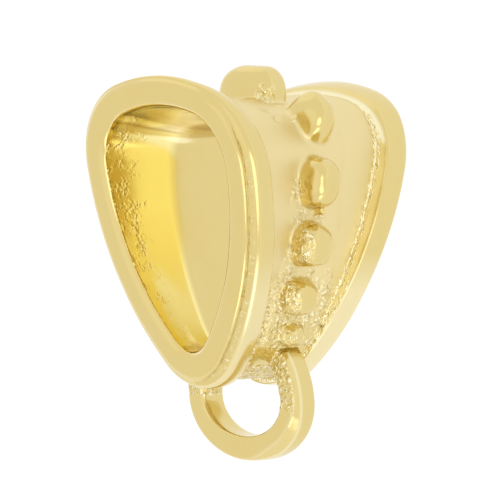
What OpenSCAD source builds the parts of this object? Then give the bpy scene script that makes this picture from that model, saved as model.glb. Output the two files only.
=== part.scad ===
// Cast slider bail: a short saddle-shaped tube for a cord, with a rolled rim at each end,
// a row of graduated granules round its waist and a fixed loop at its point.
// It rests on the flat face of one rim, as a ring lies on its side, and the loop points along -Y.

/* [Rims] */
// Width of each rim over its widest place
rim_w = 8.45; // [8.2:0.05:8.8]
// Height of each rim's top above the cord line
rim_rise = 5.55; // [5.4:0.05:5.7]
// Depth of each rim's point below the cord line
rim_drop = 4.95; // [4.8:0.05:5.1]
// Radius of each rim's broad top
rim_top_r = 7.6; // [7.2:0.1:8]
// Width of the flat ring of metal round each mouth
lip_w = 1.2; // [1.1:0.02:1.3]
// Thickness of each rolled lip along the cord
lip_t = 1.02; // [0.9:0.02:1.1]
// How much each lip thins towards its back at the broad top
lip_ease = 0.3; // [0:0.05:0.4]
// How many times thicker the rim is that the bail rests on
rear_thicker = 1.19; // [1.1:0.01:1.25]
// How far the top of each mouth is raised
mouth_raised = 0.16; // [0:0.02:0.2]

/* [Waist] */
// Width of the tube at its waist
waist_w = 7.2; // [7.05:0.05:7.3]
// Height of the waist's top above the cord line
waist_rise = 4.65; // [4.55:0.05:4.75]
// Depth of the waist's point below the cord line
waist_drop = 4.7; // [4.6:0.05:4.8]
// Radius of the waist's broad top
waist_top_r = 14; // [12:0.5:16]
// Thickness of the wall at the waist
wall = 0.83; // [0.75:0.02:0.9]
// Flare of the skin's sides where they meet a rim's back: 0 the waist's section, 1 the rim's
side_flare = 0.12; // [0.08:0.01:0.2]
// Flare of the skin's broad top in the same place
top_flare = 0.46; // [0.4:0.01:0.5]

/* [Length] */
// Length of the tube along the cord line, rim face to rim face
tube_len = 6.42; // [6.2:0.02:6.6]
// Angle by which each rim's face leans out towards the broad top
lean = 12; // [10:0.5:14]

/* [Outline] */
// Direction, from straight up, in which a rim's broad top turns into its shoulder
rim_shoulder_dir = 16; // [14:0.5:18]
// Direction, from straight up, in which the waist's broad top turns into its shoulder
waist_shoulder_dir = 8; // [6:0.5:9]
// Direction, from straight up, in which a rim's side turns into its point
rim_point_dir = 133; // [131:0.5:135]
// Direction, from straight up, in which the waist's side turns into its point
waist_point_dir = 120; // [118:0.5:123]

/* [Granules] */
// Width of a full granule along the cord
granule_w = 1.3; // [1.1:0.05:1.4]
// How deep each granule's widest place lies under the skin
granule_foot = 0.1; // [0:0.05:0.2]

/* [Loop] */
// Outer width of the loop
loop_w = 5.48; // [5.3:0.02:5.7]
// Outer height of the loop
loop_h = 4.24; // [4.1:0.02:4.4]
// Thickness of the loop's wire, seen along the cord
wire = 0.86; // [0.78:0.02:0.94]
// Thickness of the loop's wire along the cord
wire_deep = 1; // [0.85:0.05:1.1]
// Depth of the loop's lowest place below the cord line
loop_drop = 7.52; // [7.4:0.02:7.64]
// How far the loop stands off the middle, towards the rim that the bail rests on
loop_back = 0.44; // [0.3:0.02:0.5]
// Angle by which the loop leans, its foot away from the rim that the bail rests on
loop_lean = 4; // [0:0.5:5]

/* [Hidden] */
gold = [0.88, 0.78, 0.47];

half_len = tube_len / 2;
// A section is [half width, rise, drop, top radius, shoulder direction, point direction].
rim = [rim_w / 2, rim_rise, rim_drop, rim_top_r, rim_shoulder_dir, rim_point_dir];
waist = [waist_w / 2, waist_rise, waist_drop, waist_top_r, waist_shoulder_dir, waist_point_dir];

// Steps round half the outline: broad top, shoulder, side, rounded point.
arc_steps = [4, 12, 15, 11];
arc_dirs = [0, (rim_shoulder_dir + waist_shoulder_dir) / 2, 90, (rim_point_dir + waist_point_dir) / 2, 180];

// Where the skin meets a rim's back, as a distance kept inside the rim's face
crease = lip_t + 0.03;

// The outer skin's profile from the waist's middle to the rim's face.
// Columns: share of the way to the face, distance kept inside the face,
// flare (0 the waist's section, 1 the crease's, 2 the rim's),
// depth under the skin down the sides, and round the top.
outer_profile = [
    [0.00, crease, 0.00, 0.00, 0.00],
    [0.22, crease, 0.02, 0.00, 0.00],
    [0.42, crease, 0.11, 0.00, 0.00],
    [0.60, crease, 0.27, 0.00, 0.00],
    [0.77, crease, 0.51, 0.00, 0.00],
    [0.91, crease, 0.78, 0.00, 0.00],
    [1.00, crease, 1.04, 0.00, 0.00],
    [1.00, lip_t, 2.00, 0.04, 0.06],
    [1.00, lip_t - 0.12, 2.00, -0.02, -0.02],
    [1.00, lip_t * 0.53, 2.00, -0.08, -0.05],
    [1.00, lip_t * 0.32, 2.00, -0.02, 0.01],
    [1.00, 0.19, 2.00, 0.17, 0.11],
    [1.00, 0.11, 2.00, 0.27, 0.19],
    [1.00, 0.04, 2.00, 0.28, 0.32],
    [1.00, 0.00, 2.00, 0.43, 0.50]
];

// The passage's profile, in the same columns.
passage_profile = [
    [0.00, 0.00, 0.00, wall, wall],
    [0.25, 0.00, 0.50, wall + 0.09, wall + 0.09],
    [0.55, 0.00, 1.15, wall + 0.21, wall + 0.21],
    [1.00, lip_t, 1.90, lip_w, lip_w],
    [1.00, 0.19, 2.00, lip_w, lip_w],
    [1.00, 0.02, 2.00, lip_w - 0.13, lip_w - 0.13],
    [1.00, 0.00, 2.00, lip_w - 0.20, lip_w - 0.20]
];

// How deep the granules and the loop's arms are rooted in the tube's wall
rooted = wall * 0.6;
// The room inside those roots, in the same columns.
core_profile = [
    [0.00, crease, 0.00, rooted, rooted],
    [0.42, crease, 0.11, rooted, rooted],
    [0.77, crease, 0.51, rooted, rooted]
];

// The granule on the top, then those down each side to the loop.
// Columns: direction on the waist's outline, length along the row, share of the full width, rise,
// distance that it was cast off the middle, towards the rim that the bail rests on.
granules = [
    [0, 2.68, 1.00, 1.26, 0.30],
    [44.3, 1.78, 1.02, 1.08, 0.04],
    [92.7, 1.72, 1.02, 0.98, -0.24],
    [102.2, 1.52, 1.12, 0.93, -0.26],
    [110.5, 1.30, 1.14, 0.86, -0.28],
    [116.9, 0.94, 0.86, 0.66, -0.05]
];

// How far the loop's arms would rise above its widest place if they met, and
// the direction, from straight up, in which each starts inside the waist's wall
arm_rise = 2.3;
arm_start = 41.5;
loop_steps = 37;
wire_steps = 10;

// Radii of the four arcs that make half an outline, each tangent to the next
function shoulder_r(s) = (s[0] - s[3] * sin(s[4])) / (1 - sin(s[4]));
function widest_z(s) = s[1] - s[3] * (1 - cos(s[4])) - shoulder_r(s) * cos(s[4]);
function point_r(s) =
    let (k = cos(s[5]) / (1 - sin(s[5])))
    (widest_z(s) + s[2] + k * s[0]) / (1 + cos(s[5]) + k * sin(s[5]));
function side_r(s) = (s[0] - point_r(s) * sin(s[5])) / (1 - sin(s[5]));

// Place on a section's outline where its outward direction is a, from straight up
function right_place(s, a) =
    a <= s[4] ? [s[3] * sin(a), s[1] - s[3] * (1 - cos(a))] :
    a <= 90 ? [s[0] - shoulder_r(s) * (1 - sin(a)), widest_z(s) + shoulder_r(s) * cos(a)] :
    a <= s[5] ? [s[0] - side_r(s) * (1 - sin(a)), widest_z(s) + side_r(s) * cos(a)] :
    [point_r(s) * sin(a), -s[2] + point_r(s) * (1 + cos(a))];
function place(s, a) =
    a <= 180 ? right_place(s, a) : let (p = right_place(s, 360 - a)) [-p[0], p[1]];

// Directions of the outline's points, once round
half_dirs = [for (k = [0:3]) for (i = [0:arc_steps[k] - 1])
    arc_dirs[k] + (arc_dirs[k + 1] - arc_dirs[k]) * i / arc_steps[k]];
dirs = concat(half_dirs, [180], [for (i = [len(half_dirs) - 1:-1:1]) 360 - half_dirs[i]]);

// Distance of a rim's face from the middle, at height z
function face_y(z) = half_len + z * tan(lean);

// A profile from one rim to the other: column 5 is the side, -1 for the front half
function both_ways(profile) = concat(
    [for (i = [len(profile) - 1:-1:0]) concat(profile[i], [-1])],
    [for (i = [1:len(profile) - 1]) concat(profile[i], [1])]
);

function kept_in(x) = min(1, max(0, x));

// Where a rim's face ends in a ridge with a groove behind it: 1 down the right side,
// fainter on the left and below, 0 where the top rolls over
function ridged(a) =
    let (off_top = a > 180 ? 360 - a : a)
    (a > 180 ? 0.35 : 1) * kept_in((off_top - 36) / 24) * max(0.3, kept_in((182 - off_top) / 30));

// How broad the top is in direction a: 1 straight up, 0 at the sides and below
function top_share(a) = pow(max(0, cos(a)), 2);

// A flare of the table's as a share of the way from the waist's section to the rim's
function flare_at(a, flare) =
    let (low = side_flare + (top_flare - side_flare) * top_share(a))
    flare <= 1 ? low * flare : low + (1 - low) * (flare - 1);

// Point of a skin in direction a; thinned is how much its lip thins towards its back at the broad top
function skin_point(a, row, thinned) =
    let (
        flare = flare_at(a, row[2]),
        kept = row[1] * (row[5] > 0 && row[1] > lip_t / 2 ? rear_thicker : 1),
        plain = row[3] * ridged(a) + row[4] * (1 - ridged(a)),
        thinning = row[0] == 1 ? thinned * row[1] / lip_t : 0,
        raised = mouth_raised * kept_in((plain - wall) / (lip_w - wall)),
        depth = plain + (thinning - raised) * top_share(a),
        p = place(waist, a) * (1 - flare) + place(rim, a) * flare - depth * [sin(a), cos(a)]
    )
    [p[0], row[5] * row[0] * (face_y(p[1]) - kept), p[1]];

// Faces of the skin between ring i and ring k, each of m points
function skin_faces(i, k, m) = [for (j = [0:m - 1]) let (n = (j + 1) % m)
    for (f = [[i * m + j, k * m + j, k * m + n], [i * m + j, k * m + n, i * m + n]]) f];
function all_points(rings) = [for (ring = rings) for (p = ring) p];

// A closed skin through rings of points, with a flat face at each end
module lofted(rings) {
    n = len(rings);
    m = len(rings[0]);
    polyhedron(
        points = all_points(rings),
        faces = concat(
            [[for (j = [0:m - 1]) j]],
            [[for (j = [m - 1:-1:0]) (n - 1) * m + j]],
            [for (i = [0:n - 2]) for (f = skin_faces(i, i + 1, m)) f]
        ),
        convexity = 8
    );
}

function rings_of(profile, thinned = 0) =
    [for (row = both_ways(profile)) [for (a = dirs) skin_point(a, row, thinned)]];

// The tube with its rims: out along the outer skin, back through the passage
module tube() {
    skin = rings_of(outer_profile, lip_ease);
    way = rings_of(passage_profile);
    rings = concat(skin, [for (i = [len(way) - 1:-1:0]) way[i]]);
    polyhedron(
        points = all_points(rings),
        faces = [for (i = [0:len(rings) - 1]) for (f = skin_faces(i, (i + 1) % len(rings), len(dirs))) f],
        convexity = 8
    );
}

// One granule: a pillow, widest at the skin that it stands on, its length along the row
module granule(length, share, rise) {
    r = min(granule_w * share, length) / 2;
    hull() for (x = [-1, 1])
        translate([x * (length / 2 - r), 0, -granule_foot])
        scale([1, 1, (rise + granule_foot) / r])
        sphere(r = r, $fn = 20);
}

module granule_row() {
    for (g = granules) for (side = g[0] == 0 ? [1] : [1, -1]) {
        p = right_place(waist, g[0]);
        translate([side * p[0], g[4], p[1]]) rotate([0, side * g[0], 0]) granule(g[1], g[2], g[3]);
    }
}

// The loop's middle line: half an oval below, longer arms above that run up into the waist
function loop_line(t) =
    let (c = cos(t))
    [(loop_w - wire) / 2 * sin(t), (c > 0 ? arm_rise : (loop_h - wire) / 2) * c];

// The wire's section: an oval squared up at its corners
function squared(x) = sign(x) * pow(abs(x), 0.7);
function wire_place(u) = [wire / 2 * squared(cos(u)), wire_deep / 2 * squared(sin(u))];

module loop() {
    lofted([for (i = [0:loop_steps])
        let (
            t = arm_start + (360 - 2 * arm_start) * i / loop_steps,
            p = loop_line(t),
            d = loop_line(t + 0.5) - loop_line(t - 0.5),
            out = [-d[1], d[0]] / norm(d)
        )
        [for (j = [0:wire_steps - 1])
            let (w = wire_place(360 * (j + 0.5) / wire_steps), rise = p[1] + out[1] * w[0])
            [p[0] + out[0] * w[0], loop_back - w[1] - rise * tan(loop_lean), loop_h / 2 - loop_drop + rise]]]);
}

// Sets the bail down on the face of its rear rim, with the middle of the passage at the origin
module bail() {
    mouth_z = (rim_rise - rim_drop) / 2;
    color(gold)
    translate([0, -mouth_z / cos(lean) - half_len * sin(lean), half_len * cos(lean)])
    rotate([lean - 90, 0, 0])
    union() {
        tube();
        difference() {
            union() {
                granule_row();
                loop();
            }
            lofted(rings_of(core_profile));
        }
    }
}

bail();
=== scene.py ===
# %% [markdown]
# # A cast slider bail
# A bail is the small metal tube that carries a charm on a cord. This one is a single casting: a
# short saddle-shaped tube, a rolled rim at each end, a row of granules round its waist and a
# fixed loop at its point. It lies on the face of its rear rim, as a ring lies on its side.
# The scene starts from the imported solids, so that every piece keeps their sizes.

import math

import bpy
import numpy as np
from mathutils import Matrix, Vector, noise


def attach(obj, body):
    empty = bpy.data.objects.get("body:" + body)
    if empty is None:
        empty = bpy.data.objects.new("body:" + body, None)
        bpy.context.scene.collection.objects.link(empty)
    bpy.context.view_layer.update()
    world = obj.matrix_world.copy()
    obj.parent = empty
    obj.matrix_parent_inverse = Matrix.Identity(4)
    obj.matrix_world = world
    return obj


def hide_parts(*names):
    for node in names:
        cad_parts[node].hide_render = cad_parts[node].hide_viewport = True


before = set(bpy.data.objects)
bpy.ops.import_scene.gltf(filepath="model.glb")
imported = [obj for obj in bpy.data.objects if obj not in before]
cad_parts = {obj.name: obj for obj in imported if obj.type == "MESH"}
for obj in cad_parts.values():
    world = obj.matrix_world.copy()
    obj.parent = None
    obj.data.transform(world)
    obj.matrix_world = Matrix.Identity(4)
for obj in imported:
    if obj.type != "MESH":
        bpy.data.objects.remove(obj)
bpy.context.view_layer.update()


# %% [markdown]
# ## Sizes
# All the shapes come from a few sizes in millimetres, measured while the bail hangs: X to the
# right, Y along the cord from the front rim to the rear rim, Z up to the broad top. Heights start
# at the cord line.

# %% Driving sizes, in millimetres and degrees
# A section's width, rise, drop and top radius, and the directions where its top and sides end
rim_w, rim_rise, rim_drop, rim_top_r = 8.45, 5.55, 4.95, 7.6
rim_shoulder_dir, rim_point_dir = 16, 133
waist_w, waist_rise, waist_drop, waist_top_r = 7.2, 4.65, 4.7, 14
waist_shoulder_dir, waist_point_dir = 8, 120
# A lip's width, its thickness, and how much of its width it gives up on top towards its back
lip_w, lip_t, lip_ease = 1.2, 1.02, 0.3
wall = 0.83
half_len = 6.42 / 2
lean = math.radians(12)
granule_w, granule_foot, top_granule_rise = 1.3, 0.1, 1.26
loop_w, loop_h, wire, wire_deep = 5.48, 4.24, 0.86, 1.0
loop_drop, loop_back, loop_lean = 7.52, 0.44, math.radians(4)
# How far the loop's arms reach up from its middle, and the direction where they are cut off
arm_rise, arm_start = 2.3, 41.5
whole_height = waist_rise + top_granule_rise + loop_drop
print("length on the cord line", 2 * half_len, "mm, height", whole_height, "mm")

# %% [markdown]
# ## The outline of a section
# A section of the tube is a rounded triangle: a broad arc on top, a tight arc at each shoulder,
# a long arc down each side and a round point below. Each arc is tangent to the next, so one
# angle, the outward direction, names every place on the outline.

# %% Where a section's outline is
RIM = (rim_w / 2, rim_rise, rim_drop, rim_top_r, rim_shoulder_dir, rim_point_dir)
WAIST = (waist_w / 2, waist_rise, waist_drop, waist_top_r, waist_shoulder_dir, waist_point_dir)


def sin_d(angle):
    return np.sin(np.radians(angle))


def cos_d(angle):
    return np.cos(np.radians(angle))


def outline(section, angle):
    """Places on a section's outline, by outward direction in degrees from straight up."""
    half, rise, drop, top_r, shoulder, point = section
    # Each radius follows from the arcs before it, because every arc starts where the last one ends
    shoulder_r = (half - top_r * sin_d(shoulder)) / (1 - sin_d(shoulder))
    widest_z = rise - top_r * (1 - cos_d(shoulder)) - shoulder_r * cos_d(shoulder)
    k = cos_d(point) / (1 - sin_d(point))
    point_r = (widest_z + drop + k * half) / (1 + cos_d(point) + k * sin_d(point))
    side_r = (half - point_r * sin_d(point)) / (1 - sin_d(point))
    angle = np.asarray(angle, float) % 360
    a = np.where(angle > 180, 360 - angle, angle)
    arcs = [a <= shoulder, a <= 90, a <= point]
    x_on_arcs = [
        top_r * sin_d(a),
        half - shoulder_r * (1 - sin_d(a)),
        half - side_r * (1 - sin_d(a)),
    ]
    z_on_arcs = [
        rise - top_r * (1 - cos_d(a)),
        widest_z + shoulder_r * cos_d(a),
        widest_z + side_r * cos_d(a),
    ]
    x = np.select(arcs, x_on_arcs, point_r * sin_d(a))
    z = np.select(arcs, z_on_arcs, point_r * (1 + cos_d(a)) - drop)
    return np.where(angle > 180, -x, x), z


def round_the_outline(steps=(8, 26, 32, 24)):
    """Outward directions once round, with steps on the top, shoulder, side and point of a half."""
    top_ends = (rim_shoulder_dir + waist_shoulder_dir) / 2
    side_ends = (rim_point_dir + waist_point_dir) / 2
    ends = [0, top_ends, 90, side_ends, 180]
    arcs = [np.linspace(ends[k], ends[k + 1], n, endpoint=False) for k, n in enumerate(steps)]
    half = np.concatenate(arcs)
    return np.concatenate([half, [180], 360 - half[:0:-1]])


AROUND = round_the_outline()
print("points round a section:", len(AROUND))

# %% [markdown]
# ## The tube's profile
# Between the rims the skin flares like a saddle, and each rim's lip is a bead of metal with a
# crisp edge at its back, a rounded side, a flat polished face and a bevel round the mouth. Down
# the sides the face ends in a ridge with a groove behind it. All of this is written as tables, a
# row for each ring of points, so that a change of one size moves the whole rim.

# %% Where the skin opens and where it is ridged
# How far the saddle has opened where it meets the lip, at the sides and on top, and its curve
side_flare, top_flare, flare_curve = 0.12, 0.46, 2.6
# How much of the ridge is left on the left side and below
left_ridge, point_ridge = 0.35, 0.3


def ramp(value, start, over):
    """0 before start, rising to 1 over a stretch; a negative stretch runs the other way."""
    return np.clip((value - start) / over, 0, 1)


def on_top(angles):
    """1 straight up, falling to 0 at the sides."""
    return np.maximum(0, cos_d(angles)) ** 2


def flare(share, angles):
    """How far the saddle has opened from the waist's section (0) to the rim's (1)."""
    at_crease = side_flare + (top_flare - side_flare) * on_top(angles)
    return at_crease * share**flare_curve


def ridge_round():
    """1 where the face ends in a ridge, less on the left and below, 0 where the top rolls over."""
    off_top = 180 - np.abs(AROUND - 180)
    below = np.maximum(point_ridge, ramp(off_top, 182, -30))
    return np.where(AROUND > 180, left_ridge, 1.0) * ramp(off_top, 48, 24) * below


RIDGE = ridge_round()
print("points with a full ridge:", int((RIDGE > 0.99).sum()))

# %% Tables of rings
crease = {-1: lip_t + 0.03, 1: lip_t + 0.23}
# Columns: share of the way to the crease at the lip's back
saddle_rows = (0.0, 0.15, 0.3, 0.45, 0.6, 0.72, 0.83, 0.92, 0.975)
# Columns: distance kept inside the face, share of the way up the lip's back, depth where the face
# ends in a ridge, depth where it rolls over
lip_rows = (
    (lip_t + 0.03, 0.04, 0.0, 0.0),
    (lip_t + 0.025, 0.2, 0.0, 0.0),
    (lip_t, 0.85, 0.05, 0.08),
    (lip_t - 0.02, 1.0, 0.02, 0.04),
    (lip_t - 0.06, 1.0, -0.005, 0.0),
    (lip_t - 0.14, 1.0, -0.01, -0.02),
    (0.72, 1.0, -0.03, -0.05),
    (0.56, 1.0, -0.035, -0.05),
    (0.44, 1.0, -0.03, -0.04),
    (0.36, 1.0, -0.01, -0.02),
    (0.31, 1.0, 0.02, 0.0),
    (0.26, 1.0, 0.06, 0.02),
    (0.225, 1.0, 0.1, 0.05),
    (0.205, 1.0, 0.17, 0.08),
    (0.19, 1.0, 0.26, 0.11),
    (0.172, 1.0, 0.335, 0.14),
    (0.15, 1.0, 0.36, 0.17),
    (0.128, 1.0, 0.345, 0.2),
    (0.112, 1.0, 0.32, 0.22),
    (0.08, 1.0, 0.335, 0.26),
    (0.045, 1.0, 0.355, 0.32),
    (0.012, 1.0, 0.38, 0.38),
    (0.0, 1.0, 0.43, 0.46),
    (-0.01, 1.0, 0.60, 0.64),
    (-0.012, 1.0, 0.82, 0.82),
    (0.0, 1.0, lip_w - 0.24, lip_w - 0.24),
    (0.008, 1.0, lip_w - 0.215, lip_w - 0.215),
    (0.02, 1.0, lip_w - 0.16, lip_w - 0.16),
    (0.05, 1.0, lip_w - 0.08, lip_w - 0.08),
    (0.08, 1.0, lip_w - 0.035, lip_w - 0.035),
    (0.12, 1.0, lip_w - 0.01, lip_w - 0.01),
    (0.14, 1.0, lip_w + 0.005, lip_w + 0.005),
    (0.26, 1.0, lip_w + 0.01, lip_w + 0.01),
)
# Columns: share of the way to the face, distance kept inside it, flare, depth
passage_rows = (
    (1.0, 0.8, 0.94, lip_w + 0.03),
    (0.6, 0.0, 0.5, 1.01),
    (0.4, 0.0, 0.32, 0.945),
    (0.27, 0.0, 0.18, 0.905),
    (0.2, 0.0, 0.12, 0.885),
    (0.0, 0.0, 0.0, wall),
)
print("rings of a half:", len(saddle_rows) + len(lip_rows) + len(passage_rows))

# %% Rings of the tube
# The mouths are raised on top, and the rear one is narrower all round
mouth_raised, rear_narrowed = 0.16, 0.2
# Rows of the lip deeper than this are at the mouth; rows further behind the face than the other
# number move back with a thicker lip
mouth_depth, lip_middle = 0.8, 0.4


def ring(side, share, kept, flared, depth, thinned=0.0):
    """A ring of points; share of the way to the face, less the distance kept inside it."""
    wx, wz = outline(WAIST, AROUND)
    rx, rz = outline(RIM, AROUND)
    top = on_top(AROUND)
    depth = depth + thinned * top - mouth_raised * top * ramp(depth, wall, lip_w - wall)
    x = wx + (rx - wx) * flared - depth * sin_d(AROUND)
    z = wz + (rz - wz) * flared - depth * cos_d(AROUND)
    y = side * share * (half_len + z * math.tan(lean) - kept)
    return np.stack([x, y, z], axis=-1)


def half_tube(side):
    """Rings from the waist's skin, round the lip and back to the waist's inside."""
    narrowed = rear_narrowed if side > 0 else 0
    thicker = crease[side] / crease[-1]
    low = flare(1.0, AROUND)
    rings = [ring(side, s, crease[side], flare(s, AROUND), 0.0) for s in saddle_rows]
    for kept, up, sharp, soft in lip_rows:
        depth = sharp * RIDGE + soft * (1 - RIDGE) + (narrowed if soft > mouth_depth else 0)
        behind = kept * (thicker if kept > lip_middle else 1)
        rings.append(ring(side, 1.0, behind, low + (1 - low) * up, depth, lip_ease * kept / lip_t))
    for share, kept, flared, depth in passage_rows:
        rings.append(ring(side, share, kept, flared, depth + narrowed * share))
    return rings


def both_ways(front, rear):
    """Once round the tube's skin, from the front half's rings and the rear half's."""
    return np.array(front[::-1] + rear[1:-1])


tube_rings = both_ways(half_tube(-1), half_tube(1))
print("rings of the tube:", len(tube_rings))

# %% [markdown]
# ## What the skin is like from place to place
# One plating covers the whole bail, but it doesn't look the same everywhere. Instead of a
# material for each look, every point carries four numbers that the one finish reads later:
#
# - grain is 1 where no wheel reached and the casting's grain is left
# - the painted-light number is 1 where a rich reflection is painted, 2 where an amber one is,
#   and negative where pale highlights are painted
# - shade is 1 where shade is painted, in the groove behind the ridge and in the pits
# - satin is 1 where the skin was rubbed but not polished
#
# On the tube they are written ring by ring, beside the tables of the rings.

# %% Grain, painted light, painted shade and satin of the tube
groove_grain, mouth_grain, crease_grain, low_grain = 0.45, 0.33, 0.85, 0.95
roof_spot_dir, roof_spot_half = 338, 18
# How dark the painted shade in the groove behind the ridge is
groove_shade = 0.75
BLANK = np.zeros(len(AROUND))


def below_middle(over):
    """0 on the waist's upper part, rising to 1 towards the point."""
    return ramp(outline(WAIST, AROUND)[1], -0.8, -over)


def in_mouth(kept, soft):
    """Whether a row of the lip's table lies inside the mouth, past its bevel."""
    return kept > 0.1 and soft >= lip_w


def half_grain(side):
    """In the crease, on the lower saddle, in the groove and inside the front mouth's left."""
    front = side < 0
    low = below_middle(1.4) * low_grain
    roof_spot = np.clip(1.1 - np.abs(AROUND - roof_spot_dir) / roof_spot_half, 0, 1)
    left = np.maximum(np.clip(-sin_d(AROUND) * 1.2, 0, 1), roof_spot)
    saddle = [np.maximum(low * (s > 0.1), crease_grain * (s > 0.97)) for s in saddle_rows]
    lips = []
    for kept, up, _, soft in lip_rows:
        if up < (0.5 if front else 1):
            lips.append(np.maximum(crease_grain * (up < 0.5), low * (not front)))
        else:
            in_groove = 0.11 < kept < 0.24
            inside = front and in_mouth(kept, soft)
            lips.append(groove_grain * RIDGE * in_groove + mouth_grain * left * inside)
    fading = [np.interp(share, (0.4, 0.6, 1.0), (0.0, 0.31, 0.5)) for share, *_ in passage_rows]
    return saddle + lips + [left * front * grain for grain in fading]


def half_painted_light(side):
    """Painted light: rich inside, amber low at the front's left, pale on edges and the saddle."""
    # All of this is painted light: rich and amber reflections, and pale highlights where negative
    roof = ramp(cos_d(AROUND), 0.78, 0.08)
    foot = below_middle(1.8)
    if side < 0:
        amber = ramp(AROUND, 262, -35)
        walls = np.clip(-sin_d(AROUND) * 4, 0, 1) * (1 - roof) * (1 + amber) - roof
    else:
        walls = np.clip(sin_d(AROUND) * 4, 0, 1) * (1 - roof) + roof
    right_edge = np.clip(sin_d(AROUND) * 2, 0, 1)
    lips = []
    for kept, up, _, soft in lip_rows:
        if in_mouth(kept, soft):
            lips.append(walls)
        elif side < 0:
            # The pale bands on the front lip's back edge, mouth bevel and lower side are painted
            # highlights
            back_edge = 0.6 * (lip_t - 0.03 < kept < lip_t + 0.01)
            mouth_edge = 0.8 * (0.04 < kept < 0.13 and soft > mouth_depth)
            rounded = 0.3 * (0.24 < kept < lip_t - 0.03)
            lips.append(-back_edge - mouth_edge * right_edge - foot * rounded)
        else:
            # The rear lip's back wall and lower side are painted pale to lighten their reflections
            back_wall = 0.9 * (up < 1)
            lips.append(-back_wall - foot * 0.45)
    # The saddle's paler colour is a painted reflection
    saddle = [BLANK - 0.3 * (0.02 < s < 0.97) for s in saddle_rows]
    return saddle + lips + [walls * (share > 0.21) for share, *_ in passage_rows]


def half_shade():
    """Painted shade in the groove behind the ridge."""
    lips = [groove_shade * RIDGE * (0.14 < kept < 0.18) for kept, *_ in lip_rows]
    return [BLANK] * len(saddle_rows) + lips + [BLANK] * len(passage_rows)


def half_satin():
    """On the saddle."""
    saddle = [BLANK + (s < 0.95) for s in saddle_rows]
    return saddle + [BLANK] * (len(lip_rows) + len(passage_rows))


tube_marks = {
    "grain": both_ways(half_grain(-1), half_grain(1)),
    "painted_light": both_ways(half_painted_light(-1), half_painted_light(1)),
    "shade": both_ways(half_shade(), half_shade()),
    "satin": both_ways(half_satin(), half_satin()),
}
print({name: (values.min().round(2), values.max().round(2)) for name, values in tube_marks.items()})

# %% [markdown]
# ## From a flat sheet to a shape
# A jeweller rolls a sheet into a tube. A grid primitive is that sheet: its columns go round, its
# rows go along, and where the sheet meets itself the seam is welded. The work is done in
# millimetres, because in metres the finest voxels of the remesh modifier would be a tenth of a
# millimetre, and the finished piece is set down in metres at the very end.


# %% Helpers that model a piece
def choose(*pieces):
    """Selects these pieces alone and makes the first one active."""
    bpy.ops.object.select_all(action="DESELECT")
    for piece in pieces:
        piece.select_set(True)
    bpy.context.view_layer.objects.active = pieces[0]


def start_piece(name):
    """Names what an operator has just made."""
    made = bpy.context.object
    made.name = made.data.name = name
    return made


def coordinates(piece):
    flat = np.empty(len(piece.data.vertices) * 3)
    piece.data.vertices.foreach_get("co", flat)
    return flat.reshape(-1, 3)


def place_points(piece, points):
    flat = np.ascontiguousarray(points, dtype=float).ravel()
    piece.data.vertices.foreach_set("co", flat)
    piece.data.update()


def keep_mark(piece, name, values):
    """Keeps a number for each point as an attribute, which a material can read."""
    marks = piece.data.attributes
    mark = marks[name] if name in marks else marks.new(name, "FLOAT", "POINT")
    mark.data.foreach_set("value", np.ascontiguousarray(values, dtype=np.float32))


def mark_of(piece, name):
    values = np.empty(len(piece.data.vertices), dtype=np.float32)
    piece.data.attributes[name].data.foreach_get("value", values)
    return values


def edit_all(piece, operator, **settings):
    """Runs an edit-mode operator on the whole piece."""
    choose(piece)
    bpy.ops.object.mode_set(mode="EDIT")
    bpy.ops.mesh.select_all(action="SELECT")
    operator(**settings)
    bpy.ops.object.mode_set(mode="OBJECT")


def fill_ends(piece):
    choose(piece)
    bpy.ops.object.mode_set(mode="EDIT")
    bpy.ops.mesh.select_all(action="DESELECT")
    bpy.ops.mesh.select_non_manifold()
    bpy.ops.mesh.fill_holes(sides=0)
    bpy.ops.object.mode_set(mode="OBJECT")


def rolled_sheet(name, rings, closed=True, marks=None):
    """A grid rolled up through rings of points.

    A closed one joins its last ring to its first, and the others get both ends filled. The marks
    are named numbers for each point of each ring, kept on the piece.
    """
    rings = np.asarray(rings)
    rows, columns = rings.shape[:2]
    across, along = columns, rows if closed else rows - 1
    bpy.ops.object.select_all(action="DESELECT")
    bpy.ops.mesh.primitive_grid_add(x_subdivisions=across, y_subdivisions=along, size=1)
    piece = start_piece(name)
    flat = coordinates(piece)
    column = np.rint((flat[:, 0] + 0.5) * across).astype(int) % columns
    row = np.rint((flat[:, 1] + 0.5) * along).astype(int) % rows
    place_points(piece, rings[row, column])
    for mark, values in (marks or {}).items():
        keep_mark(piece, mark, values[row, column])
    edit_all(piece, bpy.ops.mesh.remove_doubles, threshold=1e-5)
    if not closed:
        fill_ends(piece)
    edit_all(piece, bpy.ops.mesh.normals_make_consistent, inside=False)
    return piece


def finish_with(piece, kind, **settings):
    """Adds a modifier and applies it at once."""
    choose(piece)
    modifier = piece.modifiers.new(kind, kind)
    for name, value in settings.items():
        setattr(modifier, name, value)
    bpy.ops.object.modifier_apply(modifier=modifier.name)


def report(piece):
    size = coordinates(piece)
    low, high = size.min(0).round(2), size.max(0).round(2)
    print(piece.name, len(piece.data.polygons), "faces, low", low, "high", high)


# %% [markdown]
# ## The tube
# The tube, both rims and the passage are one closed skin, like a tyre. A very slow waviness is
# left in, as hand polishing leaves it, and subdivision then rounds the skin once more.


# %% Model the tube
def waviness(points, size, height, seed):
    """A slow rise and fall over the skin, in millimetres."""
    shift = Vector((seed * 7.1, seed * 3.3, seed * 5.7))
    return np.array([noise.noise(Vector(p) / size + shift) for p in points]) * height


def skin_normals(piece):
    flat = np.empty(len(piece.data.vertices) * 3)
    piece.data.vertices.foreach_get("normal", flat)
    return flat.reshape(-1, 3)


def push_out(piece, distances):
    place_points(piece, coordinates(piece) + skin_normals(piece) * distances[:, None])


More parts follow.
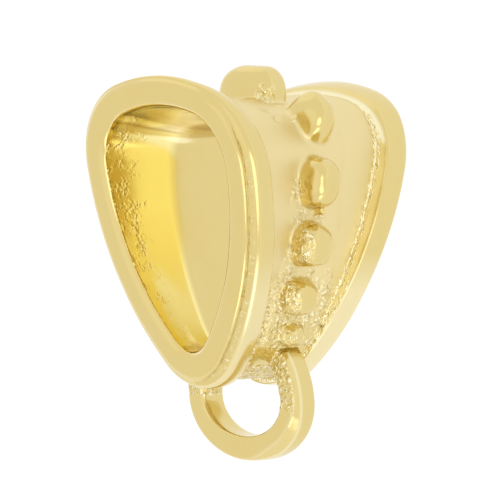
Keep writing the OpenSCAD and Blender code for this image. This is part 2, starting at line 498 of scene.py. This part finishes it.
tube = rolled_sheet("tube", tube_rings, marks=tube_marks)
push_out(tube, waviness(coordinates(tube), size=1.9, height=0.02, seed=1))
finish_with(tube, "SUBSURF", levels=1, render_levels=1)
report(tube)

# %% [markdown]
# ## The granules
# Each granule was a soft pillow of wax pressed on the waist. One sphere primitive is squared up
# into a pillow, and each copy gets its own length, width, rise and a few dents. Between them lie
# a few nubs, small beads of metal that the casting left behind.

# %% Model one granule and copy it
# Columns: direction on the waist, length along the row, share of the width, rise, place along the
# cord, squareness
granules = (
    (0, 2.68, 1.00, top_granule_rise, 0.30, 3.2),
    (44.3, 1.78, 1.02, 1.08, 0.04, 2.3),
    (92.7, 1.72, 1.02, 0.98, -0.24, 2.7),
    (102.2, 1.52, 1.12, 0.93, -0.26, 2.6),
    (110.5, 1.30, 1.14, 0.86, -0.28, 2.4),
    (116.9, 0.94, 0.86, 0.66, -0.05, 2.2),
)
# Columns: direction, place along the cord, width, rise
nubs = (
    (97.1, 0.02, 0.34, 0.42),
    (-97.4, 0.1, 0.3, 0.36),
    (68, 0.16, 0.3, 0.16),
    (-106.4, -0.1, 0.26, 0.4),
    (3, -0.4, 1.2, 0.16),
)
# How deep a granule is rooted in the waist, and how strong its dents are
rooted, dented = 0.36, 0.035


def drop_of_wax():
    bpy.ops.object.select_all(action="DESELECT")
    bpy.ops.mesh.primitive_uv_sphere_add(segments=48, ring_count=28, radius=1)
    return start_piece("drop_of_wax")


def set_on_waist(points, angle, along):
    """From a granule's own axes (along the row, along the cord, out) to its place on the waist."""
    px, pz = outline(WAIST, angle)
    x = points[:, 0] * cos_d(angle) + points[:, 2] * sin_d(angle) + px
    z = points[:, 2] * cos_d(angle) - points[:, 0] * sin_d(angle) + pz
    return np.stack([x, points[:, 1] + along, z], axis=-1)


def granule_at(name, angle, length, share, rise, along, squareness, seed):
    made = wax.copy()
    made.data = wax.data.copy()
    made.name = made.data.name = name
    bpy.context.collection.objects.link(made)
    shape = coordinates(made)
    shape = shape / (np.abs(shape) ** squareness).sum(1, keepdims=True) ** (1 / squareness)
    shift = Vector((seed * 9.7, 0, seed))
    dents = 1 + dented * np.array([noise.noise(Vector(p) * 1.6 + shift) for p in shape])
    half_length = np.full(len(shape), length / 2)
    half_width = np.full(len(shape), granule_w * share / 2)
    tall = np.where(shape[:, 2] > 0, rise + granule_foot, rooted)
    shape = shape * dents[:, None] * np.stack([half_length, half_width, tall], axis=-1)
    shape[:, 2] -= granule_foot
    place_points(made, set_on_waist(shape, angle, along))
    return made


wax = drop_of_wax()
beads = []
for number, (angle, *sizes) in enumerate(granules):
    for side in (1, -1) if angle else (1,):
        seed = number * 2 + (side < 0)
        beads.append(granule_at(f"granule_{seed}", side * angle, *sizes, seed))
for angle, along, width, rise in nubs:
    beads.append(granule_at("nub", angle, width, width / granule_w, rise, along, 2.0, 31 + angle))
bpy.data.objects.remove(wax)
print("granules and nubs:", len(beads))

# %% [markdown]
# ## The seat of the granules
# On the real casting nothing is stuck on: the metal runs from the waist up into each granule in a
# small hollow curve. To get that, a thin band that follows the waist is joined to the granules,
# the whole is remeshed as one skin of small voxels, and smoothing rounds the inner corners. At
# both ends of the row the band rises to a low ledge, which hangs over the loop's arms.

# %% Band, remesh and smoothing
# Columns: distance from the middle, height over the skin
band_rows = ((0.0, 0.02), (0.5, 0.02), (0.9, 0.015), (1.15, 0.004), (1.35, -0.02), (1.6, -0.13))
band_depth = 0.34
# The ledge's rise, the direction where it starts, the degrees over which it rises, and its curve
ledge_rise, ledge_from, ledge_over, ledge_curve = 0.2, 104, 13, 1.5


def waist_band(name, start, end, steps, ledge=0.0):
    """A strip that lies on the waist between two directions, its edges sunk under the skin."""
    top = [(-y, h) for y, h in band_rows[:0:-1]] + list(band_rows)
    angles = np.linspace(start, end, steps)
    lifted = ledge * ramp(np.abs(angles), ledge_from, ledge_over) ** ledge_curve
    wx, wz = outline(WAIST, angles)
    rx, rz = outline(RIM, angles)
    sections = []
    for y, level in top + [(y, -band_depth) for y, _ in top[::-1]]:
        height = level + lifted * (level > 0)
        span = half_len + wz * math.tan(lean) - crease[1 if y > 0 else -1]
        opened = flare(np.minimum(abs(y) / span, 1.0), angles)
        x = wx + (rx - wx) * opened + height * sin_d(angles)
        z = wz + (rz - wz) * opened + height * cos_d(angles)
        sections.append(np.stack([x, np.full(len(angles), y), z], axis=-1))
    return rolled_sheet(name, np.transpose(sections, (1, 0, 2)), closed=False)


def cast_as_one(name, parts, voxel, rounds):
    """Joins parts, remeshes them as one skin and smooths it."""
    choose(*parts)
    bpy.ops.object.join()
    made = start_piece(name)
    finish_with(made, "REMESH", mode="VOXEL", voxel_size=voxel, adaptivity=0.0)
    finish_with(made, "SMOOTH", factor=0.5, iterations=rounds)
    return made


seat_end = 119.5
row_band = waist_band("row_band", -seat_end, seat_end, 260, ledge_rise)
granule_row = cast_as_one("granule_row", [row_band] + beads, voxel=0.05, rounds=4)
report(granule_row)

# %% [markdown]
# ## Softer feet
# In the photo the metal in front of the upper granules is drawn out into a longer slope than
# between them. Soft spots, round regions that fade at their edge, choose the points that are
# smoothed further. Spots of the same kind say later where the grain is.

# %% Soften the feet in front of the upper granules
# Columns: direction, place along the cord, radius
softened_feet = (
    (12, -0.35, 0.62),
    (30, -0.5, 0.62),
    (44, -0.6, 0.62),
    (60, -0.62, 0.62),
    (75, -0.55, 0.62),
    (25, 0.3, 0.45),
    (20, 0.9, 0.45),
    (60, 0.5, 0.45),
    (4, -0.45, 0.45),
    (14, -0.2, 0.45),
)


def soft_spots(points, spots):
    """1 well inside a spot, 0 a little past it; a spot is x, y, z, radius, strength."""
    found = np.zeros(len(points))
    for x, y, z, radius, strength in spots:
        near = np.linalg.norm(points - (x, y, z), axis=1) / radius
        found = np.maximum(found, strength * np.clip(1.6 - 1.3 * near, 0, 1))
    return found


def on_waist(angle, y, height=0.0):
    """A place over the waist's skin, by direction and distance along the cord."""
    x, z = outline(WAIST, angle)
    return float(x + height * sin_d(angle)), y, float(z + height * cos_d(angle))


def pair_of_spots(angle, y, radius, strength, height=0.0):
    """Spots at a place over the waist's skin and at its mirror image."""
    return [(*on_waist(side * angle, y, height), radius, strength) for side in (1, -1)]


def soften(piece, weights, rounds, levels=8):
    """Smooths a piece further where its points have weight."""
    group = piece.vertex_groups.new(name="soft")
    for level in range(1, levels + 1):
        chosen = np.flatnonzero(np.rint(weights * levels).astype(int) == level)
        group.add(chosen.tolist(), level / levels, "REPLACE")
    finish_with(piece, "SMOOTH", factor=0.5, iterations=rounds, vertex_group="soft")


front_feet = []
for angle, y, radius in softened_feet:
    front_feet += pair_of_spots(angle, y, radius, strength=1.0, height=0.05)
soften(granule_row, soft_spots(coordinates(granule_row), front_feet), rounds=30)
report(granule_row)

# %% [markdown]
# ## The loop
# The loop is wire with a squared-up section that leaves the waist's sides, runs round below the
# point and comes back. It is swept along half an oval below and longer arms above, trimmed where
# its arms would reach the passage, and cast as one with the lump of metal under the waist. On
# the right side its outer front edge carries a narrow flat.

# %% Model the loop
loop_half, loop_low, loop_mid = (loop_w - wire) / 2, (loop_h - wire) / 2, loop_h / 2 - loop_drop
loop_steps, wire_steps = 96, 56
squared_up = 0.36
# Columns: direction round the loop, how far the flat eats into the front face, and into the side
flat_rows = (
    (40, 0.05, 0.3),
    (60, 0.06, 0.28),
    (90, 0.12, 0.28),
    (120, 0.24, 0.36),
    (150, 0.25, 0.4),
    (178, 0.03, 0.1),
)


def loop_line(t):
    """A place on the wire's middle line, from the loop's middle."""
    tall = arm_rise if cos_d(t) > 0 else loop_low
    return np.array([loop_half * sin_d(t), tall * cos_d(t)])


def squared(value):
    return np.sign(value) * np.abs(value) ** squared_up


def worn_flat(t):
    """How far the flat eats into the front face and into the outer side."""
    at, in_face, in_side = zip(*flat_rows)
    return np.interp(t, at, in_face), np.interp(t, at, in_side)


def loop_rings():
    """Rings of the wire, down the right arm, round below the point and up the left one."""
    turn = 360 * (np.arange(wire_steps) + 0.5) / wire_steps
    rings = []
    for t in np.linspace(arm_start, 360 - arm_start, loop_steps + 1):
        side, deep = wire / 2 * squared(cos_d(turn)), wire_deep / 2 * squared(sin_d(turn))
        in_face, in_side = worn_flat(180 - abs(180 - t))
        # On the right half, what lies outside the flat is drawn back onto it
        u, v = (wire / 2 - side) / in_face, (wire_deep / 2 - deep) / in_side
        onto = np.where((u + v < 1) & (t < 180), 1 / np.maximum(u + v, 1e-3), 1.0)
        side, deep = wire / 2 - u * onto * in_face, wire_deep / 2 - v * onto * in_side
        middle, ahead = loop_line(t), loop_line(t + 0.5) - loop_line(t - 0.5)
        out = np.array([-ahead[1], ahead[0]]) / np.hypot(*ahead)
        rise = middle[1] + out[1] * side
        y = loop_back - deep - rise * math.tan(loop_lean)
        rings.append(np.stack([middle[0] + out[0] * side, y, loop_mid + rise], axis=-1))
    return rings


def passage_core():
    """A plug that fills the passage out to the middle of its wall."""
    shares = (-0.7, -0.45, -0.2, 0.0, 0.2, 0.45, 0.7)
    opened = [flare(abs(s) * 1.4, AROUND) for s in shares]
    rings = [ring(math.copysign(1, s), abs(s), 0, o, wall / 2) for s, o in zip(shares, opened)]
    return rolled_sheet("core", rings, closed=False)


core = passage_core()
loop = rolled_sheet("loop", loop_rings(), closed=False)
finish_with(loop, "BOOLEAN", operation="DIFFERENCE", object=core, solver="EXACT")
bpy.data.objects.remove(core)
point_band = waist_band("point_band", 118, 242, 120)
loop = cast_as_one("loop", [loop, point_band], voxel=0.042, rounds=3)
report(loop)

# %% [markdown]
# ## Rough and smooth granules
# Wheels can't reach everywhere: the feet and the front faces of the lower granules keep the grain
# of the casting, while their rear edges get painted pale highlights. Soft spots and the height
# over the waist's skin find those places. The grain pushes the skin a little and is kept, with the
# painted light and the satin, for the finish.

# %% Mark and roughen the granules
# Beside the top granule, on the right: direction, place along the cord, height over the skin
top_feet = ((14, 0.0, 0.1), (19, 0.1, 0.25), (22, 0.4, 0.3), (10, -0.25, 0.12), (5, -0.3, 0.12))
# At both ends of the row: direction, place along the cord, radius, strength
end_feet = ((113, -0.9, 1.0, 1.0), (118, 0.0, 0.9, 1.0), (112, 1.2, 0.9, 0.8))

# The first spot, x, y, z, radius and strength, is on the top granule's own foot
foot_spots = [(1.15, -0.2, 4.9, 0.5, 0.8)]
foot_spots += [(*on_waist(angle, y, height), 0.34, 0.8) for angle, y, height in top_feet]
for foot in end_feet:
    foot_spots += pair_of_spots(*foot)
for angle, *_, along, _ in granules[1:]:
    strength = 0.35 if angle < 60 else 0.85
    for y in (-0.75, 0.7):
        foot_spots += pair_of_spots(angle + 1, along + y, 0.5, strength)
        foot_spots += pair_of_spots(angle + 5, along + y * 0.6, 0.4, strength)


def roughen(piece, marks, height, seed, size=0.16):
    """Pushes the marked skin in and out by a fine and a coarser grain."""
    points = coordinates(piece)
    grain = waviness(points, size, 1.0, seed) + waviness(points, size * 2, 0.8, seed + 1)
    push_out(piece, grain * height * marks)


row_points = coordinates(granule_row)
row_height, row_ahead = row_points[:, 2], -skin_normals(granule_row)[:, 1]
skin_x, skin_z = outline(WAIST, np.linspace(180, 0, 400))
from_skin = np.hypot(np.abs(row_points[:, :1]) - skin_x, row_points[:, 2:] - skin_z)
over_skin = np.min(from_skin, axis=1)
low_row = ramp(row_height, -0.55, -0.9) * ramp(over_skin, 0.3, -0.1)
front_faces = ramp(row_ahead, 0.3, 0.2) * ramp(row_height, 0.75, -0.3) * (over_skin > 0.2)
row_grain = np.maximum(soft_spots(row_points, foot_spots), 0.95 * low_row)
row_grain = np.maximum(row_grain, 0.8 * front_faces)
roughen(granule_row, row_grain, height=0.045, seed=3)

row_normals = skin_normals(granule_row)
facing_back = np.abs(row_normals[:, 0]) * 0.66 + row_normals[:, 1] * 0.75
rear_edge_highlight = ramp(facing_back, 0.9, 0.05)
keep_mark(granule_row, "grain", row_grain)
# Painted pale highlights on the granules' rear edges, and a paler painted reflection low on the
# band
keep_mark(granule_row, "painted_light", -np.maximum(rear_edge_highlight, 0.3 * ramp(over_skin, 0.22, -0.15)))
keep_mark(granule_row, "satin", ramp(over_skin, 0.2, -0.15))
print("points of the row with grain:", int((row_grain > 0.5).sum()))

# %% [markdown]
# ## Rough and smooth wire
# The tops of the loop's arms sit too deep under the waist for a wheel, so they keep their grain.
# Below them the wire is bright, and pale highlights are painted on the two edges of its flat.

# %% Mark and roughen the loop
loop_points, loop_normals = coordinates(loop), skin_normals(loop)
loop_x, loop_rise = loop_points[:, 0], loop_points[:, 2] - loop_mid
front_side = np.clip(-loop_normals[:, 1] * 3 - 1.2, 0, 1)
into_the_eye = np.clip(loop_normals[:, 0] * 3 - 1, 0, 1)
front_side = np.where(loop_x < 0, np.maximum(front_side, into_the_eye), front_side)
under_point = ramp(np.abs(loop_x), 1.6, -0.15) * ramp(loop_rise, 0.3, 0.1)
arm_front = ramp(loop_rise + 0.25 * (loop_x > 0), -0.1, 0.15) * front_side
loop_grain = np.maximum(under_point, arm_front)
roughen(loop, loop_grain, height=0.03, seed=5, size=0.14)
keep_mark(loop, "grain", loop_grain)
print("points of the loop with grain:", int((loop_grain > 0.5).sum()))


# %% Paint pale highlights on the edges of the flat
def near_line(across, down, width=0.05):
    """1 on a line, fading over its width."""
    return np.exp(-((across**2 + down**2) / width**2))


loop_tall = np.where(loop_rise > 0, arm_rise, loop_low)
t_at = np.degrees(np.arctan2(np.abs(loop_x) / loop_half, loop_rise / loop_tall))
middle_line = np.hypot(loop_half * sin_d(t_at), loop_tall * cos_d(t_at))
from_middle = np.hypot(loop_x, loop_rise) - middle_line
in_face, in_side = worn_flat(t_at)
front_at = loop_back - wire_deep / 2
behind_face = loop_points[:, 1] - front_at + loop_rise * math.tan(loop_lean)
side_line = near_line(wire / 2 - from_middle, behind_face - in_side)
face_line = near_line(wire / 2 - in_face - from_middle, behind_face)
highlight_lines = np.maximum(side_line, 0.6 * face_line)
highlight_lines *= (t_at > 50) & (loop_x > 0)
# The edges of the flat get painted pale highlights
keep_mark(loop, "painted_light", -0.5 * highlight_lines)
print("points of the loop on a worn line:", int((highlight_lines > 0.5).sum()))

# %% [markdown]
# ## Grain and pits in the tube
# The tube already carries its marks, so its grain only has to be pushed into the skin. Three
# small pits in the saddle, beside the second granule, are pressed in and painted with shade.

# %% Roughen the tube and press in its pits
pit_depth, pit_shade = 0.07, 1.4
# Columns: x, y, z, radius, strength
pits = ((2.1, -0.67, 4.55, 0.2, 1.0), (2.5, -1.5, 4.2, 0.24, 1.0), (2.9, -1.25, 4.0, 0.2, 0.9))
tube_grain = np.clip(mark_of(tube, "grain") - 0.3, 0, 1)
roughen(tube, tube_grain, height=0.035, seed=8, size=0.12)
pitted = soft_spots(coordinates(tube), pits)
push_out(tube, -pit_depth * pitted)
# The pits' darkening is painted shade
keep_mark(tube, "shade", np.maximum(mark_of(tube, "shade"), pit_shade * pitted))
print("points in pits:", int((pitted > 0.5).sum()))

# %% [markdown]
# ## Setting the bail down
# The finished pieces are turned onto the rear rim's face and brought to metres, so that they sit
# exactly where the solids are. Each one then rides on the root body, and the bail's solid is
# hidden.

# %% Set the pieces down
mouth_z = (rim_rise - rim_drop) / 2
sin_lean, cos_lean = math.sin(lean), math.cos(lean)
# Turns the rear rim's face down and the broad top towards +Y, and sets that face on the floor
SET_DOWN = np.array([[1, 0, 0], [0, sin_lean, cos_lean], [0, -cos_lean, sin_lean]])
SET_AT = np.array([0, -mouth_z / cos_lean - half_len * sin_lean, half_len * cos_lean])


def set_down(points):
    return (np.asarray(points) @ SET_DOWN.T + SET_AT) / 1000


def smooth_faces(piece):
    piece.data.polygons.foreach_set("use_smooth", [True] * len(piece.data.polygons))


pieces = (tube, granule_row, loop)
for piece in pieces:
    place_points(piece, set_down(coordinates(piece)))
    smooth_faces(piece)
    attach(piece, "root")
    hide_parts("bail")
print("pieces set down:", [piece.name for piece in pieces])

# %% [markdown]
# ## The finish
# Pale gold plate over brass, polished. A metal's colour is the colour of its reflections, so most
# of the look comes from a smooth surface under even light, a faint waviness, and grain where the
# marks say so. The shader is written as sums on a small class that wraps a node's output.


# %% A small class for shader maths
class Signal:
    """A value that varies over the surface: one output of a node."""

    def __init__(self, finish, socket):
        self.finish, self.socket = finish, socket

    def math(self, operation, first, second=0.0, clamp=False):
        settings = {"operation": operation, "use_clamp": clamp}
        return self.finish.node("ShaderNodeMath", settings, {0: first, 1: second})

    def __add__(self, other):
        return self.math("ADD", self, other)

    def __sub__(self, other):
        return self.math("SUBTRACT", self, other)

    def __rsub__(self, other):
        return self.math("SUBTRACT", other, self)

    def __mul__(self, other):
        return self.math("MULTIPLY", self, other)

    __radd__, __rmul__ = __add__, __mul__

    def clamped(self):
        return self.math("ADD", self, 0.0, clamp=True)


class Finish:
    """A material and the one way in which its nodes are made."""

    def __init__(self, name):
        self.material = bpy.data.materials.new(name)
        self.material.use_nodes = True
        self.tree = self.material.node_tree
        self.surface = self.tree.nodes["Principled BSDF"]

    def node(self, kind, settings=None, inputs=None, output=0):
        made = self.tree.nodes.new(kind)
        for name, value in (settings or {}).items():
            setattr(made, name, value)
        for name, value in (inputs or {}).items():
            self.feed(made.inputs[name], value)
        return Signal(self, made.outputs[output])

    def feed(self, socket, value):
        if isinstance(value, Signal):
            self.tree.links.new(value.socket, socket)
        else:
            socket.default_value = value

    def set(self, **values):
        for name, value in values.items():
            self.feed(self.surface.inputs[name.replace("_", " ")], value)

    def mark(self, name):
        """The numbers that keep_mark left on the points."""
        return self.node("ShaderNodeAttribute", {"attribute_name": name}, output="Fac")

    def mix(self, factor, first, second):
        """A mix of colours: a mix node takes them at sockets 6 and 7 and gives one at output 2."""
        inputs = {0: factor, 6: first, 7: second}
        return self.node("ShaderNodeMix", {"data_type": "RGBA"}, inputs, output=2)

    def noise(self, place, size_mm, detail=3.0, roughness=0.5):
        """Cloudy noise whose features are about the given size."""
        inputs = {"Vector": place, "Scale": 1000.0 / size_mm}
        inputs |= {"Detail": detail, "Roughness": roughness}
        return self.node("ShaderNodeTexNoise", {}, inputs)


# %% [markdown]
# ## Pale gold plate
# The plate is a pale yellow that turns deeper in soft clouds. Where the grain mark is high, the
# skin breaks up into specks, holes and pebbles, which bump mapping raises and lowers by a few
# hundredths of a millimetre; the specks are also painted as pale glints and the holes with shade.
# The painted-light mark moves the colour to painted rich and amber reflections or lets painted
# pale highlights and the glints show, the shade mark paints shade, and the satin spreads the
# reflections.

# %% The plate's colours and its material
PALE_GOLD = (0.76, 0.62, 0.27, 1)
DEEP_GOLD = (0.75, 0.56, 0.17, 1)
# The next three colours are painted light: rich and amber reflections, and pale highlights and
# glints
REFLECTED_RICH_GOLD = (1.0, 0.88, 0.40, 1)
HIGHLIGHT_GOLD = (1.0, 0.93, 0.66, 1)
REFLECTED_AMBER_GOLD = (0.72, 0.51, 0.07, 1)
# The shaded gold is painted shade, in the grain's holes, the groove and the pits
SHADED_GOLD = (0.50, 0.37, 0.10, 1)
# Depths are in metres, as Blender reads them
swell_depth, grain_depth = 2e-5, 4e-5
polished, pebble_mm = 0.13, 0.15


def gold_plate():
    finish = Finish("gold_plate")
    place = finish.node("ShaderNodeTexCoord", output="Object")
    grain, painted_light = finish.mark("grain"), finish.mark("painted_light")
    shade, satin = finish.mark("shade"), finish.mark("satin")
    clouds = finish.noise(place, 1.2)
    patches = finish.noise(place, 0.45, 4.0, 0.6)
    broken = (grain * 2.2 + patches * 3.0 - 2.3).clamped()
    fine = finish.noise(place, 0.09, 3.0, 0.6)
    # Besides their bumps, the specks carry painted glints and the holes painted shade
    specks_and_glints = (finish.noise(place, 0.13, 1.5) * 7.0 - 3.6).clamped() * broken
    holes_and_shade = (finish.noise(place, 0.17, 2.5) * -6.0 + 2.5).clamped() * broken
    pebble_inputs = {"Vector": place, "Scale": 1000.0 / pebble_mm}
    pebbles = finish.node("ShaderNodeTexVoronoi", {}, pebble_inputs)
    scratches = finish.noise(place, 0.03, 2.0)

    colour = finish.mix((clouds * 0.5 - 0.2).clamped(), PALE_GOLD, DEEP_GOLD)
    # Painted rich and amber reflections
    colour = finish.mix(painted_light.clamped(), colour, REFLECTED_RICH_GOLD)
    colour = finish.mix((painted_light - 1.0).clamped(), colour, REFLECTED_AMBER_GOLD)
    # Painted glints on the specks and painted pale highlights
    colour = finish.mix((specks_and_glints - painted_light).clamped(), colour, HIGHLIGHT_GOLD)
    # Painted shade in the grain's holes, the groove and the pits
    painted_shade = (holes_and_shade * 0.7 + shade * (patches * 2.4 - 0.5)).clamped() * 0.85
    colour = finish.mix(painted_shade, colour, SHADED_GOLD)

    swell_inputs = {"Strength": 0.35, "Distance": swell_depth, "Height": clouds}
    swell = finish.node("ShaderNodeBump", {}, swell_inputs)
    height = (fine * 0.5 + specks_and_glints * 0.5 - holes_and_shade * 0.4 - pebbles * pebbles * 0.8) * broken
    rough_inputs = {"Strength": 1.0, "Distance": grain_depth, "Height": height, "Normal": swell}
    rough = finish.node("ShaderNodeBump", {}, rough_inputs)
    finish.set(
        Base_Color=colour,
        Metallic=1.0,
        Roughness=polished + broken * 0.1 + scratches * 0.06 + satin * 0.34,
        Normal=rough,
    )
    return finish.material


gold = gold_plate()
for piece in pieces:
    piece.data.materials.clear()
    piece.data.materials.append(gold)
print("nodes in the plate's material:", len(gold.node_tree.nodes))

# %% [markdown]
# ## Floor and cards
# The photo's ground is plain white, so the floor is matt paper that glows by itself and takes only
# a faint shadow. A photographer lights dark places with cards, and so does this scene: a small
# cool one lies inside the mouth on which the bail rests and lights the passage's roof, and a
# large warm one lies in front of the loop, where the granules mirror it.

# %% Floor and cards
# Columns: name, middle in mm, half sizes in mm, turn, and the glow's name, colour and strength
cards = (
    ("card", (-1.2, -1.85), (1.85, 0.5), 125, "glow", (0.67, 0.73, 1.0, 1), 1.9),
    ("bead_card", (11.4, -19.0), (13.0, 6.5), -59, "warm_glow", (1, 0.97, 0.9, 1), 1.7),
)
card_height = 0.00002  # in metres, so that the cards lie just over the floor


def glowing(name, grey, colour, strength):
    """A matt material that gives off light of its own."""
    finish = Finish(name)
    finish.set(Base_Color=(grey, grey, grey, 1), Roughness=0.9)
    finish.set(Emission_Color=colour, Emission_Strength=strength)
    return finish.material


bpy.ops.object.select_all(action="DESELECT")
bpy.ops.mesh.primitive_plane_add(size=1.2)
floor = start_piece("floor")
floor.data.materials.append(glowing("paper", 0.12, (1, 1, 1, 1), 0.95))

for name, (x, y), size, turn, glow, colour, strength in cards:
    bpy.ops.object.select_all(action="DESELECT")
    bpy.ops.mesh.primitive_circle_add(
        vertices=48,
        radius=0.001,
        fill_type="NGON",
        location=(x / 1000, y / 1000, card_height),
        rotation=(0, 0, math.radians(turn)),
        scale=(*size, 1),
    )
    bpy.ops.object.transform_apply(location=True, rotation=True, scale=True)
    card = start_piece(name)
    card.data.materials.append(glowing(glow, 0.2, colour, strength))
print("cards:", [name for name, *_ in cards])

# %% [markdown]
# ## Camera
# The photo was taken with a long lens, from the right of the front rim and level with the bail
# as it hangs. The view was found by fitting the rims' and the loop's outlines to the photo while
# the bail hangs, so its directions are turned with the bail when it is set down.

# %% Camera
view_turn, view_rise, view_roll = math.radians(47.67), math.radians(1.68), math.radians(0.94)
view_distance = 108.5
view_lens, view_sensor = 230.4, 36.0
picture_px = 500
view_shift = (6.05 / picture_px, -10.33 / picture_px)


def camera_axes():
    """The camera's right, up and backward directions while the bail hangs."""
    right = Vector((math.cos(view_turn), math.sin(view_turn), 0))
    level = math.cos(view_rise)
    back = Vector((math.sin(view_turn) * level, -math.cos(view_turn) * level, math.sin(view_rise)))
    up = back.cross(right)
    return (
        right * math.cos(view_roll) + up * math.sin(view_roll),
        up * math.cos(view_roll) - right * math.sin(view_roll),
        back,
    )


turned = [Vector(SET_DOWN @ np.array(axis)) for axis in camera_axes()]
lens = bpy.data.cameras.new("camera")
lens.sensor_width, lens.lens = view_sensor, view_lens
lens.shift_x, lens.shift_y = view_shift
lens.clip_start, lens.clip_end = 0.005, 5
camera = bpy.data.objects.new("camera", lens)
bpy.context.collection.objects.link(camera)
cord_line = Vector(set_down([0, 0, 0]))
view_from = Matrix.Translation(cord_line + turned[2] * view_distance / 1000)
camera.matrix_world = view_from @ Matrix(turned).transposed().to_4x4()
bpy.context.scene.camera = camera
print("camera at, in mm:", [round(v * 1000, 1) for v in camera.matrix_world.translation])

# %% [markdown]
# ## Light
# A light tent is an even white all round, and here that is the sky. It is dimmer for diffuse
# light, so that the floor keeps a little shadow while the metal still mirrors a full white. Four
# round soft lights stand in it. The metal mirrors each of them as a brighter disk, because a
# lamp's brightness comes on top of the sky's.

# %% Light
sky_mirrored, sky_diffuse = 1.0, 0.45
lamp_distance = 0.3
scene = bpy.context.scene
scene.view_settings.view_transform = "Standard"
world = bpy.data.worlds.new("sky") if scene.world is None else scene.world
scene.world = world
world.use_nodes = True
links, sky = world.node_tree.links, world.node_tree.nodes["Background"]
path = world.node_tree.nodes.new("ShaderNodeLightPath")
level = world.node_tree.nodes.new("ShaderNodeMix")
level.inputs["A"].default_value, level.inputs["B"].default_value = sky_mirrored, sky_diffuse
links.new(path.outputs["Is Diffuse Ray"], level.inputs["Factor"])
links.new(level.outputs["Result"], sky.inputs["Strength"])
sky.inputs["Color"].default_value = (1, 0.985, 0.94, 1)


def soft_box(name, direction, spread, brightness):
    """A round lamp, spread degrees wide as the bail sees it, that much brighter than the sky."""
    size = 2 * lamp_distance * math.tan(math.radians(spread / 2))
    data = bpy.data.lights.new(name, "AREA")
    data.shape, data.size = "DISK", size
    data.energy = brightness * math.pi * math.pi * size**2 / 4
    lamp = bpy.data.objects.new(name, data)
    bpy.context.collection.objects.link(lamp)
    toward = Vector(direction).normalized()
    lamp.location = toward * lamp_distance
    lamp.rotation_euler = toward.to_track_quat("Z", "Y").to_euler()
    print(name, "is", round(size * 1000), "mm wide")


soft_box("beside_the_camera", (0.80, -0.35, 0.48), 34, 0.85)
soft_box("behind", (-0.5, 0.8, 0.25), 50, 0.12)
soft_box("overhead", (0.0, -0.25, 0.97), 60, 0.08)
soft_box("low_in_front", (0.5, -0.86, 0.1), 26, 1.1)
